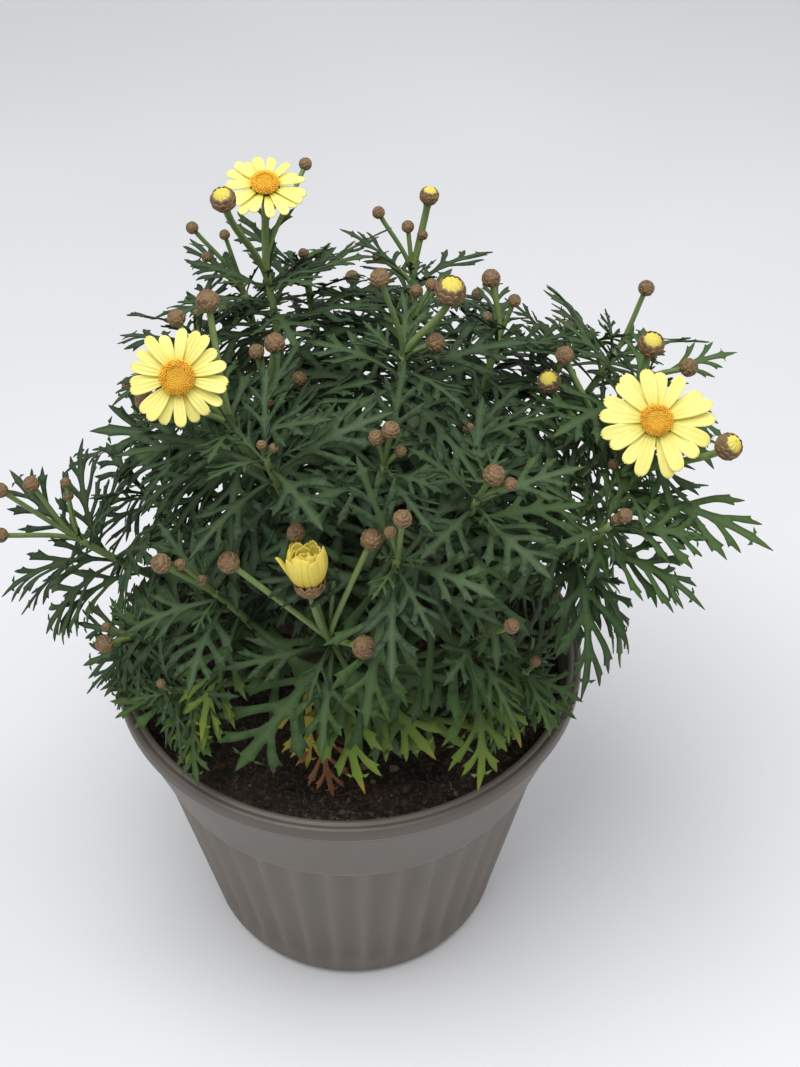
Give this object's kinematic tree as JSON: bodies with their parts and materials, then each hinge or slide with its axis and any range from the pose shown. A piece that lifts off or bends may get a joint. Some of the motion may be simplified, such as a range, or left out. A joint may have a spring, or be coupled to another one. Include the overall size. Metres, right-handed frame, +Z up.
{
  "type": "potted marguerite daisy",
  "caption": "Bushy marguerite daisy with cut blue-green leaves, buds and yellow blooms, standing in compost in a fluted round plastic pot with a flat base.",
  "frame": {"origin": "centre of the pot's flat base", "axes": "+Z up along the pot's axis, -Y towards the plant's front, +X to its right"},
  "size_m": [0.3679, 0.3006, 0.428],
  "materials": {
    "pot": "matte taupe moulded plastic",
    "soil": "moist crumbly compost",
    "wood": "thin brown bark",
    "foliage": "soft matte blue-green leaf",
    "ray": "soft pale yellow petal",
    "disc": "grainy golden florets",
    "bud": "papery brown bracts"
  },
  "bodies": {
    "root": {"pot": "pot", "soil": "soil", "branches": "wood", "opening_rays_front": "ray", "rays_left_flower": "ray", "disc_left_flower": "disc", "yellow_tip_upper_centre": "ray", "rays_top_left": "ray", "disc_top_left": "disc", "yellow_tip_top_left": "ray", "yellow_tip_top_right": "ray", "yellow_tip_right_bud": "ray", "rays_right_flower": "ray", "disc_right_flower": "disc", "yellow_tip_right_flower": "ray", "yellow_tip_right_mid": "ray", "shoot_front": "foliage", "shoot_low_left": "foliage", "shoot_rim_left": "foliage", "shoot_left_front": "foliage", "shoot_left": "foliage", "shoot_left_mid": "foliage", "shoot_left_flower": "foliage", "shoot_trio": "foliage", "shoot_centre": "foliage", "shoot_centre_low": "foliage", "shoot_upper_centre": "foliage", "shoot_top_left": "foliage", "shoot_top_far_left": "foliage", "shoot_top_mid": "foliage", "shoot_top_right": "foliage", "shoot_upper_back": "foliage", "shoot_upper_right": "foliage", "shoot_right_back": "foliage", "shoot_right_top": "foliage", "shoot_right_bud": "foliage", "shoot_right_flower": "foliage", "shoot_right_mid": "foliage", "shoot_right_low": "foliage", "shoot_mid_right": "foliage", "shoot_low_right": "foliage", "shoot_rim_right": "foliage", "shoot_centre_right": "foliage", "shoot_left_back": "foliage", "shoot_mid_left": "foliage", "shoot_back_left": "foliage", "shoot_back_low_left": "foliage", "shoot_back_mid": "foliage", "shoot_back_right": "foliage", "shoot_low_back_right": "foliage"}
  },
  "joints": []
}
